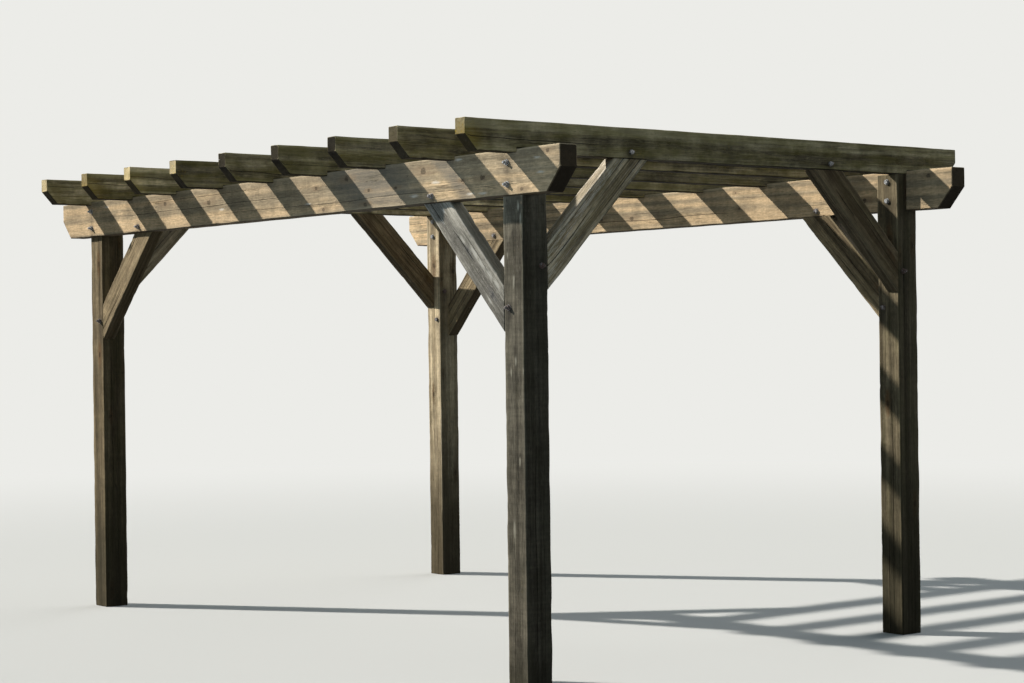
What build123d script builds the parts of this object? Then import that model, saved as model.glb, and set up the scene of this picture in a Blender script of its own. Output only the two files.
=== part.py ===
from build123d import *
import os

# Timber pergola: four posts, two long beams, rafters on top, a knee brace each way at each post.
# The origin lies on the ground, in the middle of the four posts.
# X runs along the beams, Y from the front beam to the back beam, Z up. Millimetres.

# Plan and height
post_spacing_x = 4200
post_spacing_y = 2590
headroom = 2300

# Posts: the outer half of each head is cut away as a seat for the beam
post_size = 150
beam_seat = 75

# Beams
beam_thick = 105
beam_depth = 215
beam_overhang = 390
beam_clip_length = 100
beam_clip_height = 110

# Rafters: notched over both beams
rafter_count = 9
rafter_thick = 76
rafter_depth = 152
rafter_notch = 20
rafter_overhang = 300
rafter_clip_length = 70
rafter_clip_height = 76

# One rafter was cut longer and laid nearer to its neighbour than the others
odd_rafter = 8
odd_rafter_shift = 50
odd_rafter_extra = 35

# Knee braces: 45 degrees, with a tenon at each end
brace_thick = 80
brace_depth = 155
brace_leg = 640
tenon_thick = 26
tenon_length = 55
tenon_nose = 15

# Clearance round tenons and beside the rafter notches
joint_clearance = 0.5

# Levels and planes that the pieces share
half_x = post_spacing_x / 2
half_y = post_spacing_y / 2
half_post = post_size / 2
beam_top = headroom + beam_depth
rafter_bed = beam_top - rafter_notch
rafter_top = rafter_bed + rafter_depth
beam_inner = half_y + half_post - beam_seat
beam_outer = beam_inner + beam_thick
beam_end = half_x + beam_overhang
rafter_end = beam_outer + rafter_overhang
rafter_edge = half_x + half_post
brace_slant = brace_depth * 2 ** 0.5


def block(x0, x1, y0, y1, z0, z1):
    """Box between two corners."""
    box = Box(x1 - x0, y1 - y0, z1 - z0)
    return Pos((x0 + x1) / 2, (y0 + y1) / 2, (z0 + z1) / 2) * box


def prism_along_x(points_yz, x0, x1):
    """Outline in Y and Z, carried along X from x0 to x1."""
    face = make_face(Polyline(*[(0, y, z) for y, z in points_yz], close=True))
    return Pos(x0, 0, 0) * extrude(face, amount=x1 - x0, dir=(1, 0, 0))


def prism_along_y(points_xz, y0, y1):
    """Outline in X and Z, carried along Y from y0 to y1."""
    face = make_face(Polyline(*[(x, 0, z) for x, z in points_xz], close=True))
    return Pos(0, y0, 0) * extrude(face, amount=y1 - y0, dir=(0, 1, 0))


def brace_body():
    """Brace without tenons: (distance from the post, height above the underside it props)."""
    return [(0, -brace_leg), (brace_leg, 0), (brace_leg - brace_slant, 0), (0, brace_slant - brace_leg)]


def foot_tenon(gap, mouth):
    """Tenon of the brace's foot, grown by gap and run out by mouth beyond the post's face.

    Its nose is level, so that it can be pushed in, and its back runs on along the brace.
    """
    nose = tenon_nose - brace_leg - gap
    back = brace_slant - brace_leg + gap
    tip = tenon_length + gap
    return [(mouth, nose), (-tip, nose), (-tip, back - tip), (mouth, back + mouth)]


def head_tenon(gap, mouth):
    """Tenon of the brace's head: the foot's, turned over about the 45 degree line."""
    return [(-height, -reach) for reach, height in foot_tenon(gap, mouth)]


def along_beam(outline):
    """Brace outline at the front right post, leaning out along the front beam."""
    return [(half_x - half_post - reach, headroom + height) for reach, height in outline]


def along_rafter(outline):
    """Brace outline at the front right post, leaning out along the end rafter."""
    return [(half_post - half_y + reach, rafter_bed + height) for reach, height in outline]


def slot(outer, gap):
    """Where a tenon lies across a brace whose outer face is at outer."""
    middle = outer - brace_thick / 2
    return middle - tenon_thick / 2 - gap, middle + tenon_thick / 2 + gap


def beam_brace():
    """Brace between the front right post and the front beam."""
    outer = half_y + half_post
    low, high = slot(outer, 0)
    solid = prism_along_y(along_beam(brace_body()), -outer, brace_thick - outer)
    solid += prism_along_y(along_beam(foot_tenon(0, 0)), -high, -low)
    return solid + prism_along_y(along_beam(head_tenon(0, 0)), -high, -low)


def rafter_brace():
    """Brace between the front right post and the right end rafter."""
    outer = half_x + half_post
    low, high = slot(outer, 0)
    solid = prism_along_x(along_rafter(brace_body()), outer - brace_thick, outer)
    solid += prism_along_x(along_rafter(foot_tenon(0, 0)), low, high)
    return solid + prism_along_x(along_rafter(head_tenon(0, 0)), low, high)


def beam_brace_slots():
    """Mortises that the front right beam brace needs in its post and in the front beam."""
    low, high = slot(half_y + half_post, joint_clearance)
    foot = prism_along_y(along_beam(foot_tenon(joint_clearance, 1)), -high, -low)
    head = prism_along_y(along_beam(head_tenon(joint_clearance, 1)), -high, -low)
    return foot, head


def rafter_brace_slots():
    """Mortises that the front right rafter brace needs in its post and in the end rafter."""
    low, high = slot(half_x + half_post, joint_clearance)
    foot = prism_along_x(along_rafter(foot_tenon(joint_clearance, 1)), low, high)
    head = prism_along_x(along_rafter(head_tenon(joint_clearance, 1)), low, high)
    return foot, head


def post():
    """Front right post, with the beam's seat cut out of its head and two mortises."""
    inner = half_x - half_post
    outer = half_x + half_post
    solid = block(inner, outer, -half_y - half_post, half_post - half_y, 0, rafter_bed)
    solid -= block(inner - 1, outer + 1, -beam_outer, -beam_inner, headroom, beam_top)
    return solid - beam_brace_slots()[0] - rafter_brace_slots()[0]


def beam():
    """Front beam: both ends are clipped below, and two mortises take the braces' heads."""
    flat = beam_end - beam_clip_length
    shoulder = headroom + beam_clip_height
    right = [(flat, headroom), (beam_end, shoulder), (beam_end, beam_top)]
    left = [(-x, z) for x, z in reversed(right)]
    solid = prism_along_y(right + left, -beam_outer, -beam_inner)
    head = beam_brace_slots()[1]
    return solid - head - mirror(head, about=Plane.YZ)


def rafter(right_face, extra):
    """Rafter with its right face at right_face, longer by extra at both ends."""
    end = rafter_end + extra
    flat = end - rafter_clip_length
    shoulder = rafter_bed + rafter_clip_height
    back = [(flat, rafter_bed), (end, shoulder), (end, rafter_top)]
    front = [(-y, z) for y, z in reversed(back)]
    left_face = right_face - rafter_thick
    solid = prism_along_x(back + front, left_face, right_face)
    near = beam_inner - joint_clearance
    far = beam_outer + joint_clearance
    notch = block(left_face - 1, right_face + 1, near, far, rafter_bed - 1, beam_top)
    return solid - notch - mirror(notch, about=Plane.XZ)


def end_rafter():
    """Right end rafter, flush with the posts' outer faces, with mortises for two braces."""
    head = rafter_brace_slots()[1]
    return rafter(rafter_edge, 0) - head - mirror(head, about=Plane.XZ)


def rafter_set():
    """All rafters, evenly spaced between the end ones apart from the odd one."""
    first = rafter_thick - rafter_edge
    pitch = (rafter_edge - first) / (rafter_count - 1)
    pieces = {"rafter_1": mirror(end_rafter(), about=Plane.YZ)}
    for number in range(2, rafter_count):
        odd = number == odd_rafter
        face = first + pitch * (number - 1) + (odd_rafter_shift if odd else 0)
        pieces[f"rafter_{number}"] = rafter(face, odd_rafter_extra if odd else 0)
    pieces[f"rafter_{rafter_count}"] = end_rafter()
    return pieces


def four_corners(name, solid):
    """The front right piece and its mirror images at the other three posts."""
    left = mirror(solid, about=Plane.YZ)
    return {
        f"{name}_front_right": solid,
        f"{name}_front_left": left,
        f"{name}_back_right": mirror(solid, about=Plane.XZ),
        f"{name}_back_left": mirror(left, about=Plane.XZ),
    }


def build():
    """Every node of the pergola by name."""
    front_beam = beam()
    pieces = four_corners("post", post())
    pieces["beam_front"] = front_beam
    pieces["beam_back"] = mirror(front_beam, about=Plane.XZ)
    pieces |= rafter_set()
    pieces |= four_corners("beam_brace", beam_brace())
    pieces |= four_corners("rafter_brace", rafter_brace())
    return pieces


os.makedirs("parts", exist_ok=True)
for node, piece in build().items():
    export_step(piece, f"parts/{node}.step")
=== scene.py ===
"""Weathered timber pergola: worn surfaces, bolts, stage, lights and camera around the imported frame."""

import logging
import math
from dataclasses import dataclass, field, replace
from enum import Enum
from functools import cached_property

import bpy
import numpy as np
from mathutils import Matrix, Vector


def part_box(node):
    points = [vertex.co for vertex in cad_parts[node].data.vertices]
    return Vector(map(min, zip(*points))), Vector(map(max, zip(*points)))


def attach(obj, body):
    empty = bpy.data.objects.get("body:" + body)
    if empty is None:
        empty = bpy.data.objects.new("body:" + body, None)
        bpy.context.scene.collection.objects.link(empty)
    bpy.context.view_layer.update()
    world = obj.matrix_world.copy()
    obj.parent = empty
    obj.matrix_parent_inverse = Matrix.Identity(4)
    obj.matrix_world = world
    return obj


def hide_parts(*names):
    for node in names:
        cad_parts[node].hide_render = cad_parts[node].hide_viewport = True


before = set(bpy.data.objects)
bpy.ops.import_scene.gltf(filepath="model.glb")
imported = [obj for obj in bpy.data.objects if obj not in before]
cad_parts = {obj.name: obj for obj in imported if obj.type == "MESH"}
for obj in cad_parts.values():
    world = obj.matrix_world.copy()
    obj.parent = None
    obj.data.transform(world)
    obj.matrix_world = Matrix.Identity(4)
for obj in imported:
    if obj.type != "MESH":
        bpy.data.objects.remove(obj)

log = logging.getLogger("pergola")

Display = tuple[int, int, int]
Place = tuple[float, float, float]
Rows = tuple[tuple[float, ...], ...]
Socket = bpy.types.NodeSocket
Value = float | tuple | Socket

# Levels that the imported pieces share
POST = {corner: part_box(f"post_{corner}") for corner in
        ("front_right", "front_left", "back_right", "back_left")}
BEAM_LOW, BEAM_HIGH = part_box("beam_front")
RAFTER_LOW, RAFTER_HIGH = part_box("rafter_1")
BEAM_INNER, BEAM_OUTER = -BEAM_HIGH.y, -BEAM_LOW.y
BEAM_UNDER, RAFTER_UNDER = BEAM_LOW.z, RAFTER_LOW.z
SIDE_IN, SIDE_OUT = POST["front_right"][0].x, POST["front_right"][1].x
POST_IN, POST_OUT = -POST["front_right"][1].y, -POST["front_right"][0].y

# Cuts of the timbers, as in the solids
BEAM_CLIP = (0.100, 0.110)
RAFTER_CLIP = (0.070, 0.076)
BRACE_LEG = 0.640
BRACE_DEPTH = 0.155
BRACE_THICK = 0.080
STEP = 0.0005


class Side(Enum):
    """Long faces of a timber, in order round its section. LOWER is the one that is cut."""

    LOWER = 0
    RIGHT = 1
    UPPER = 2
    LEFT = 3


def signs(corner: str) -> tuple[int, int]:
    """Signs of X and Y at a corner."""
    return 1 if corner.endswith("right") else -1, 1 if corner.startswith("back") else -1


def linear(display: Display) -> tuple[float, ...]:
    """Turns a display colour from 0 to 255 into a linear one.

    Args:
        display: Red, green and blue.

    Returns:
        Linear red, green, blue and an alpha of 1. Each is ((v + 0.055) / 1.055) ** 2.4 above 0.04045.
    """
    share = [v / 255 for v in display]
    return (*(v / 12.92 if v <= 0.04045 else ((v + 0.055) / 1.055) ** 2.4 for v in share), 1.0)


def bell(distance: np.ndarray, power: int = 2) -> np.ndarray:
    """Curve that falls from 1 at distance 0 towards 0. A higher power makes its top flatter."""
    return np.exp(-(distance**power))


class Nodes:
    """Short way of writing a node tree: most methods add one node and return its output."""

    def __init__(self, tree: bpy.types.NodeTree) -> None:
        """Keeps the tree that the nodes go into."""
        self.tree = tree

    @classmethod
    def fresh(cls, owner: bpy.types.Material | bpy.types.World) -> "Nodes":
        """Gives a material or world an empty tree.

        Args:
            owner: The material or world.

        Returns:
            The writer of its tree.
        """
        owner.use_nodes = True
        owner.node_tree.nodes.clear()
        return cls(owner.node_tree)

    def add(self, kind: str, inputs: dict[str | int, Value] | None = None,
            **settings: object) -> bpy.types.Node:
        """Adds a node.

        Args:
            kind: Blender's name for the node.
            inputs: Value or output for each input, by name or number.
            settings: Properties of the node.

        Returns:
            The new node.
        """
        node = self.tree.nodes.new(kind)
        for name, value in settings.items():
            setattr(node, name, value)
        for name, value in (inputs or {}).items():
            if isinstance(value, Socket):
                self.tree.links.new(value, node.inputs[name])
            else:
                node.inputs[name].default_value = value
        return node

    def group(self, tree: bpy.types.NodeTree, inputs: dict[str, Value]) -> bpy.types.NodeOutputs:
        """Places a group and returns its outputs."""
        return self.add("ShaderNodeGroup", inputs, node_tree=tree).outputs

    def math(self, operation: str, a: Value, b: Value = 0.0, clamp: bool = False) -> Socket:
        """Arithmetic on one or two numbers."""
        return self.add("ShaderNodeMath", {0: a, 1: b}, operation=operation, use_clamp=clamp).outputs[0]

    def plus(self, a: Value, b: Value) -> Socket:
        """Sum of two numbers."""
        return self.math("ADD", a, b)

    def times(self, a: Value, b: Value, clamp: bool = False) -> Socket:
        """Product of two numbers."""
        return self.math("MULTIPLY", a, b, clamp)

    def away(self, value: Value, middle: float) -> Socket:
        """Distance of a number from a middle one."""
        return self.math("ABSOLUTE", self.math("SUBTRACT", value, middle))

    def vector(self, operation: str, a: Value, b: Value) -> Socket:
        """Arithmetic on two vectors."""
        return self.add("ShaderNodeVectorMath", {0: a, 1: b}, operation=operation).outputs["Vector"]

    def stretch(self, place: Value, scale: Place) -> Socket:
        """Multiplies a vector along each axis."""
        return self.vector("MULTIPLY", place, scale)

    def length(self, offset: Value, scale: Place = (1.0, 1.0, 1.0)) -> Socket:
        """Length of a vector that is first multiplied along each axis."""
        inputs = {0: self.stretch(offset, scale)}
        return self.add("ShaderNodeVectorMath", inputs, operation="LENGTH").outputs["Value"]

    def axis(self, vector: Value, name: str) -> Socket:
        """One part of a vector: X, Y or Z."""
        return self.add("ShaderNodeSeparateXYZ", {0: vector}).outputs[name]

    def noise(self, place: Value, scale: Place, detail: float = 2.0, rough: float = 0.5,
              output: str = "Fac") -> Socket:
        """Fractal noise, about 0.5 on average, with a frequency along each axis."""
        inputs = {"Vector": self.stretch(place, scale), "Scale": 1.0, "Detail": detail, "Roughness": rough}
        return self.add("ShaderNodeTexNoise", inputs).outputs[output]

    def ramp(self, value: Value, low: float, high: float, start: float = 0.0, end: float = 1.0) -> Socket:
        """Smooth step from start, at low, to end, at high."""
        inputs = {"Value": value, "From Min": low, "From Max": high, "To Min": start, "To Max": end}
        return self.add("ShaderNodeMapRange", inputs, interpolation_type="SMOOTHSTEP").outputs["Result"]

    def fall(self, value: Value, low: float, high: float) -> Socket:
        """Smooth step from 1, at low, to 0, at high."""
        return self.ramp(value, low, high, 1.0, 0.0)

    def mix(self, share: Value, first: Value, second: Value, blend: str = "MIX") -> Socket:
        """Mixes two colours by a share from 0 to 1."""
        inputs = {0: share, 6: first, 7: second}
        return self.add("ShaderNodeMix", inputs, data_type="RGBA", blend_type=blend).outputs[2]

    def tint(self, colour: Value, mask: Value, amount: float, display: Display) -> Socket:
        """Lays a display colour over another by a mask and an amount."""
        share = mask if amount == 1 else self.times(mask, amount)
        return self.mix(share, colour, linear(display))

    def dim(self, colour: Value, value: Socket) -> Socket:
        """Multiplies a colour by a number."""
        grey = self.add("ShaderNodeCombineColor", {0: value, 1: value, 2: value}).outputs[0]
        return self.mix(1.0, colour, grey, "MULTIPLY")

    def attribute(self, name: str, output: str = "Fac") -> Socket:
        """Reads one of the piece's own attributes."""
        return self.add("ShaderNodeAttribute", attribute_name=name).outputs[output]

    def place(self) -> Socket:
        """Object coordinates."""
        return self.add("ShaderNodeTexCoord").outputs["Object"]


class Effects:
    """Shader groups that the finishes share. Each is built once, when it is first asked for."""

    # Noise patterns that follow the grain: frequency across it both ways and along it, detail, roughness
    GRAIN_NOISE = {
        "Fibres": ((520, 520, 9), 3, 0.6),
        "Streaks": ((64, 64, 0.6), 3, 0.55),
        "Bands": ((19, 19, 0.22), 1, 0.5),
        "Mottle": ((110, 110, 34), 3, 0.7),
    }
    WANDER = 0.015
    SAW_TILT = 0.004
    SAW_WAVE = 1400.0
    KNOT_CELLS = (11.0, 3.6)
    KNOT_SIZE = (0.006, 0.012)
    KNOT_WOBBLE = 0.022

    @staticmethod
    def start(name: str, inputs: dict[str, Value]) -> tuple[Nodes, bpy.types.NodeOutputs]:
        """Makes an empty group.

        Args:
            name: Name of the group.
            inputs: Default of each input. A tuple makes it a vector.

        Returns:
            The group's writer, and its inputs by name.
        """
        n = Nodes(bpy.data.node_groups.new(name, "ShaderNodeTree"))
        for label, default in inputs.items():
            kind = "Vector" if isinstance(default, tuple) else "Float"
            socket = n.tree.interface.new_socket(label, in_out="INPUT", socket_type=f"NodeSocket{kind}")
            socket.default_value = default
        return n, n.add("NodeGroupInput").outputs

    @staticmethod
    def finish(n: Nodes, results: dict[str, Socket]) -> bpy.types.NodeTree:
        """Gives a group an output for each result and returns the group.

        Args:
            n: The group's writer.
            results: Value of each output, all of them numbers.

        Returns:
            The group.
        """
        for label in results:
            n.tree.interface.new_socket(label, in_out="OUTPUT", socket_type="NodeSocketFloat")
        n.add("NodeGroupOutput", results)
        return n.tree

    @cached_property
    def grain(self) -> bpy.types.NodeTree:
        """Sawn softwood round a pith line: rings, fibres, streaks, bands, hairline checks and torn fibres.

        At is a place in the timber: two distances from the pith and the distance along it, in metres.
        Rings follow the distance from the pith, which wanders slowly along the piece and shifts by Bend.
        Every other pattern is noise that is stretched along the grain, apart from Bars, which lie across it.

        Returns:
            The group.
        """
        n, source = self.start("timber_grain", {"At": (0, 0, 0), "Bend": 0.0, "Ring Width": 0.005})
        at = source["At"]
        wander = n.vector("SUBTRACT", n.noise(at, (3, 3, 0.3), output="Color"), (0.5, 0.5, 0.5))
        moved = n.vector("ADD", at, n.stretch(wander, (self.WANDER, self.WANDER, 0.0)))
        uneven = n.noise(moved, (60, 60, 0.8), 1)
        radius = n.plus(n.length(moved, (1, 1, 0)), source["Bend"])
        phase = n.plus(n.math("DIVIDE", radius, source["Ring Width"]), n.times(uneven, 2.0))
        growth = n.math("FRACT", phase)
        lines = n.away(n.noise(moved, (95, 95, 2.2)), 0.5)
        torn = n.away(n.noise(moved, (230, 230, 6)), 0.46)
        patches = n.ramp(n.noise(moved, (12, 12, 1.6), 1), 0.52, 0.66)
        tilt = n.plus(n.axis(at, "Z"), n.times(uneven, self.SAW_TILT))
        results = {
            "Rings": n.times(n.ramp(growth, 0.35, 0.92), n.fall(growth, 0.94, 1.0)),
            "Hairlines": n.times(n.fall(lines, 0.0, 0.018), patches),
            "Frayed": n.times(n.fall(torn, 0.0, 0.045), n.ramp(patches, 0.0, 1.0, 1.0, 0.15)),
            "Saw Marks": n.math("SINE", n.times(tilt, self.SAW_WAVE)),
            "Bars": n.noise(at, (7, 7, 78), 2, 0.6),
        }
        results |= {name: n.noise(moved, *row) for name, row in self.GRAIN_NOISE.items()}
        return self.finish(n, results)

    def knot_shape(self, n: Nodes, around: Socket, offset: Socket, size: Value) -> dict[str, Socket]:
        """Draws a knot.

        Args:
            n: Writer of the group that it goes into.
            around: Place on the unrolled faces.
            offset: Way from the knot's middle, in metres.
            size: Its radius.

        Returns:
            Mask is a soft spot with faint rings and an uneven outline. Halo is longer along the grain. Bend
            moves the growth rings aside, most at the knot.
        """
        noise = n.noise(around, (60, 45, 0), 3, 0.6)
        wobble = n.times(n.math("SUBTRACT", noise, 0.5), self.KNOT_WOBBLE)
        near, far = (n.math("DIVIDE", n.plus(n.length(offset, (1.0, along, 0.0)), wobble), size)
                     for along in (0.7, 0.28))
        rings = n.ramp(n.math("SINE", n.times(near, 13.0)), -1.0, 1.0, 0.72, 1.0)
        return {
            "Mask": n.times(n.fall(near, 0.5, 1.12), rings),
            "Halo": n.fall(far, 0.7, 2.1),
            "Bend": n.times(n.fall(near, 0.6, 3.4), size),
        }

    @cached_property
    def knots(self) -> bpy.types.NodeTree:
        """Scattered knots on the timber's unrolled faces.

        Around is the distance round the section and along the piece. Each cell of a Voronoi pattern has at
        most one knot, at its point.

        Returns:
            The group.
        """
        n, source = self.start("timber_knots", {"Around": (0, 0, 0), "Share": 0.5})
        across, along = self.KNOT_CELLS
        small, more = self.KNOT_SIZE
        scaled = n.stretch(source["Around"], (across, along, 0.0))
        inputs = {"Vector": scaled, "Scale": 1.0, "Randomness": 0.8}
        cells = n.add("ShaderNodeTexVoronoi", inputs, voronoi_dimensions="2D").outputs
        metres = n.stretch(n.vector("SUBTRACT", scaled, cells["Position"]), (1 / across, 1 / along, 0.0))
        luck = n.add("ShaderNodeSeparateColor", {0: cells["Color"]}).outputs
        there = n.math("LESS_THAN", luck["Red"], source["Share"])
        drawn = n.plus(n.times(luck["Green"], more), small)
        size = n.plus(n.times(drawn, there), 0.0001)
        return self.finish(n, self.knot_shape(n, source["Around"], metres, size))

    @cached_property
    def placed_knot(self) -> bpy.types.NodeTree:
        """One knot at a chosen place, added to the knots that came before it.

        Returns:
            The group.
        """
        before = {"Mask": 0.0, "Halo": 0.0, "Bend": 0.0}
        inputs = {"Around": (0, 0, 0), "Centre": (0, 0, 0), "Size": 0.02} | before
        n, source = self.start("timber_placed_knot", inputs)
        offset = n.vector("SUBTRACT", source["Around"], source["Centre"])
        shape = self.knot_shape(n, source["Around"], offset, source["Size"])
        return self.finish(n, {name: n.math("MAXIMUM", source[name], value) for name, value in shape.items()})

    @cached_property
    def placed_scuff(self) -> bpy.types.NodeTree:
        """One pale rubbed mark at a chosen place, long with the grain, added to the marks before it.

        Returns:
            The group.
        """
        inputs = {"Around": (0, 0, 0), "Centre": (0, 0, 0), "Size": 0.01, "Mask": 0.0}
        n, source = self.start("timber_placed_scuff", inputs)
        offset = n.vector("SUBTRACT", source["Around"], source["Centre"])
        rough = n.noise(source["Around"], (260, 26, 0), 3, 0.6)
        reach = n.math("DIVIDE", n.length(offset, (1.0, 0.22, 0.0)), source["Size"])
        mark = n.fall(n.plus(reach, n.times(rough, 1.6)), 0.9, 1.7)
        return self.finish(n, {"Mask": n.math("MAXIMUM", source["Mask"], mark)})

    @cached_property
    def weather(self) -> bpy.types.NodeTree:
        """What sun, rain and ground do, and painted shade, by the surface's place and by the way it faces.

        Bleach is on faces that look up. Faces that look down get a dark film that is painted shade, and faces
        that look to the right end, away from the key lamp, get Shade, which is painted shade too. Faces that
        look to the left end, where the key lamp shines, get a silver tint that is partly weathering and partly
        painted shade.
        Damp rises from the ground to a height that the finish gives; on the pale and brown posts it is also
        painted shade. Algae and dark stains lie in long patches. Lichen is round spots in loose colonies.
        Flecks are short pale scuffs.

        Returns:
            The group.
        """
        n, source = self.start("timber_weather", {"At": (0, 0, 0), "Damp Height": 0.36})
        at, place = source["At"], n.place()
        normal = n.add("ShaderNodeNewGeometry").outputs["Normal"]
        right, up = n.axis(normal, "X"), n.axis(normal, "Z")
        blotches = n.noise(place, (7, 7, 7), 4, 0.6)
        uneven = n.times(blotches, 0.2)
        edge = n.plus(n.axis(place, "Z"), n.times(n.noise(place, (18, 18, 5), 3), 0.28))
        patches = n.plus(n.noise(at, (22, 22, 3.2), 4, 0.6), n.times(n.ramp(right, -0.6, 0.8), 0.22))
        inputs = {"Vector": place, "Scale": 46.0, "Randomness": 1.0}
        spots = n.add("ShaderNodeTexVoronoi", inputs).outputs["Distance"]
        grown = n.plus(spots, n.times(n.noise(place, (160, 160, 160)), 0.5))
        colony = n.ramp(n.noise(place, (5.5, 5.5, 5.5)), 0.52, 0.72)
        return self.finish(n, {
            "Bleach": n.ramp(n.plus(up, n.times(blotches, 0.4)), 0.55, 1.0),
            # Darker towards the ground; where a finish sets it high it is painted shade.
            "Damp And Shade": n.fall(n.math("DIVIDE", edge, source["Damp Height"]), 0.28, 1.0),
            "Algae": n.ramp(patches, 0.6, 0.88),
            "Lichen": n.times(n.fall(grown, 0.42, 0.56), colony),
            "Blotches": blotches,
            "Stains": n.ramp(n.noise(at, (31, 31, 4.7), 5, 0.65), 0.48, 0.68),
            # Painted shade: a dark film on faces that look down.
            "Underside Shade": n.fall(n.plus(up, n.times(blotches, 0.3)), -0.45, 0.05),
            # Painted shade on faces that look to the right end, away from the key lamp.
            "Shade": n.ramp(n.plus(right, uneven), 0.45, 0.95),
            # Silver on faces that look to the left end, where the key lamp shines: weathering and painted
            # shade.
            "Silver And Shade": n.ramp(n.math("SUBTRACT", uneven, right), 0.25, 0.95),
            "Flecks": n.ramp(n.noise(at, (170, 170, 60)), 0.66, 0.74),
        })


EFFECTS = Effects()


@dataclass(frozen=True)
class Mark:
    """A knot or scuff at a place that shows: metres across the face from its first corner, and along."""

    side: Side
    across: float
    along: float
    size: float

    def inputs(self, around: Socket, starts: tuple[float, ...]) -> dict[str, Value]:
        """Works out what the group that draws the mark needs.

        Args:
            around: Place on the unrolled faces.
            starts: Distance round the section at which each long face starts.

        Returns:
            Value of each input.
        """
        centre = (starts[self.side.value] + self.across, self.along, 0.0)
        return {"Around": around, "Centre": centre, "Size": self.size}


@dataclass(frozen=True)
class TimberFinish:
    """Weathered sawn softwood. Colours are display values from 0 to 255, amounts are from 0 to 1."""

    name: str
    light: Display
    dark: Display
    streak: Display = (58, 53, 44)
    silver: Display = (132, 126, 112)
    worn: Display = (150, 140, 118)
    scuff: Display = (186, 180, 166)
    # Colour of the painted shade on faces that look to the right end.
    shaded: Display = (28, 26, 18)
    knot: Display = (44, 35, 27)
    halo: Display = (104, 78, 52)
    algae: Display = (86, 90, 44)
    lichen: Display = (178, 148, 54)
    # Colour that rises from the ground: damp, and on the pale and brown posts painted shade.
    damp_and_shade: Display = (46, 44, 32)
    hairline: Display = (24, 20, 16)
    iron: Display = (34, 32, 32)
    # Colour of the painted shade on faces that look down.
    underside_shade: Display = (30, 26, 20)
    inside: Display = (16, 13, 10)
    # Grey of the painted shade patches, if the finish has them.
    painted_shade_grey: Display | None = None
    ring_amount: float = 0.35
    ring_width: float = 0.0055
    streak_amount: float = 0.6
    streak_low: float = 0.5
    pale_amount: float = 0.35
    band_reach: float = 0.10
    band_contrast: float = 1.0
    mottle_amount: float = 0.18
    blotch_amount: float = 0.12
    bar_amount: float = 0.05
    stain_amount: float = 0.25
    # Silver tint on faces that look to the left end: weathering and painted shade.
    silver_and_shade_amount: float = 0.5
    bleach_amount: float = 0.7
    check_amount: float = 0.7
    fray_amount: float = 0.2
    end_amount: float = 0.7
    wear_amount: float = 0.6
    fleck_amount: float = 0.15
    scuff_amount: float = 0.75
    algae_amount: float = 0.3
    lichen_amount: float = 0.15
    lichen_stain: float = 0.55
    damp_and_shade_height: float = 0.36
    damp_and_shade_amount: float = 0.6
    iron_amount: float = 0.7
    # Amount of the painted shade on faces that look down.
    underside_shade_amount: float = 0.75
    # Amount of that painted shade on faces that look to the right end.
    shade_amount: float = 0.0
    knot_share: float = 0.4
    gloss: float = 0.08
    bump: float = 0.9
    relief: float = 0.0016

    def material(self, starts: tuple[float, ...], knots: tuple[Mark, ...] = (),
                 scuffs: tuple[Mark, ...] = ()) -> bpy.types.Material:
        """Builds the material.

        Args:
            starts: Distance round the section at which each long face starts.
            knots: Knots at chosen places.
            scuffs: Pale rubbed marks at chosen places.

        Returns:
            The new material.
        """
        material = bpy.data.materials.new(self.name)
        n = Nodes.fresh(material)
        around, at = n.attribute("around", "Vector"), n.attribute("grain_at", "Vector")
        knot = n.group(EFFECTS.knots, {"Around": around, "Share": self.knot_share})
        for mark in knots:
            before = {name: knot[name] for name in ("Mask", "Halo", "Bend")}
            knot = n.group(EFFECTS.placed_knot, mark.inputs(around, starts) | before)
        rubbed = 0.0
        for mark in scuffs:
            rubbed = n.group(EFFECTS.placed_scuff, mark.inputs(around, starts) | {"Mask": rubbed})["Mask"]
        end = n.attribute("end_face")
        long_face = n.math("SUBTRACT", 1.0, end, clamp=True)
        bend = n.times(knot["Bend"], long_face)
        grain = n.group(EFFECTS.grain, {"At": at, "Bend": bend, "Ring Width": self.ring_width})
        weather = n.group(EFFECTS.weather, {"At": at, "Damp Height": self.damp_and_shade_height})
        masks = {socket.name: socket for outputs in (grain, weather) for socket in outputs}
        masks |= {"Knot": n.times(knot["Mask"], long_face), "Halo": n.times(knot["Halo"], long_face)}
        masks["End"] = end
        relief = {"Strength": self.bump, "Distance": self.relief, "Height": self.height(n, masks)}
        shader = n.add("ShaderNodeBsdfPrincipled", {
            "Base Color": self.colour(n, masks, rubbed),
            "Roughness": n.ramp(masks["Streaks"], 0.2, 0.8, 0.74, 0.94),
            "Specular IOR Level": self.gloss,
            "Normal": n.add("ShaderNodeBump", relief).outputs[0],
        })
        n.add("ShaderNodeOutputMaterial", {"Surface": shader.outputs[0]})
        return material

    def colour(self, n: Nodes, masks: dict[str, Socket], rubbed: Value) -> Socket:
        """Mixes the colour from broad to fine: bands, streaks, rings, fibres, knots, then wear and growth, then
        the tone, which holds painted light and painted shade at some ends, and last damp, stains and painted
        shade.

        Args:
            n: Writer of the material.
            masks: Outputs of the shared groups by name.
            rubbed: Mask of the placed scuffs, or 0.

        Returns:
            The colour.
        """
        streaks, low = masks["Streaks"], self.streak_low
        band = n.plus(n.times(masks["Bands"], 0.8), n.times(masks["Blotches"], 0.2))
        half = self.band_reach / self.band_contrast
        colour = n.mix(n.ramp(band, 0.5 - half, 0.5 + half), linear(self.dark), linear(self.light))
        for mask, amount, display in (
            (n.ramp(streaks, low, low + 0.2), self.streak_amount, self.streak),
            (n.fall(streaks, 0.30, 0.46), self.pale_amount, self.worn),
            (masks["Rings"], self.ring_amount, self.streak),
        ):
            colour = n.tint(colour, mask, amount, display)

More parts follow.
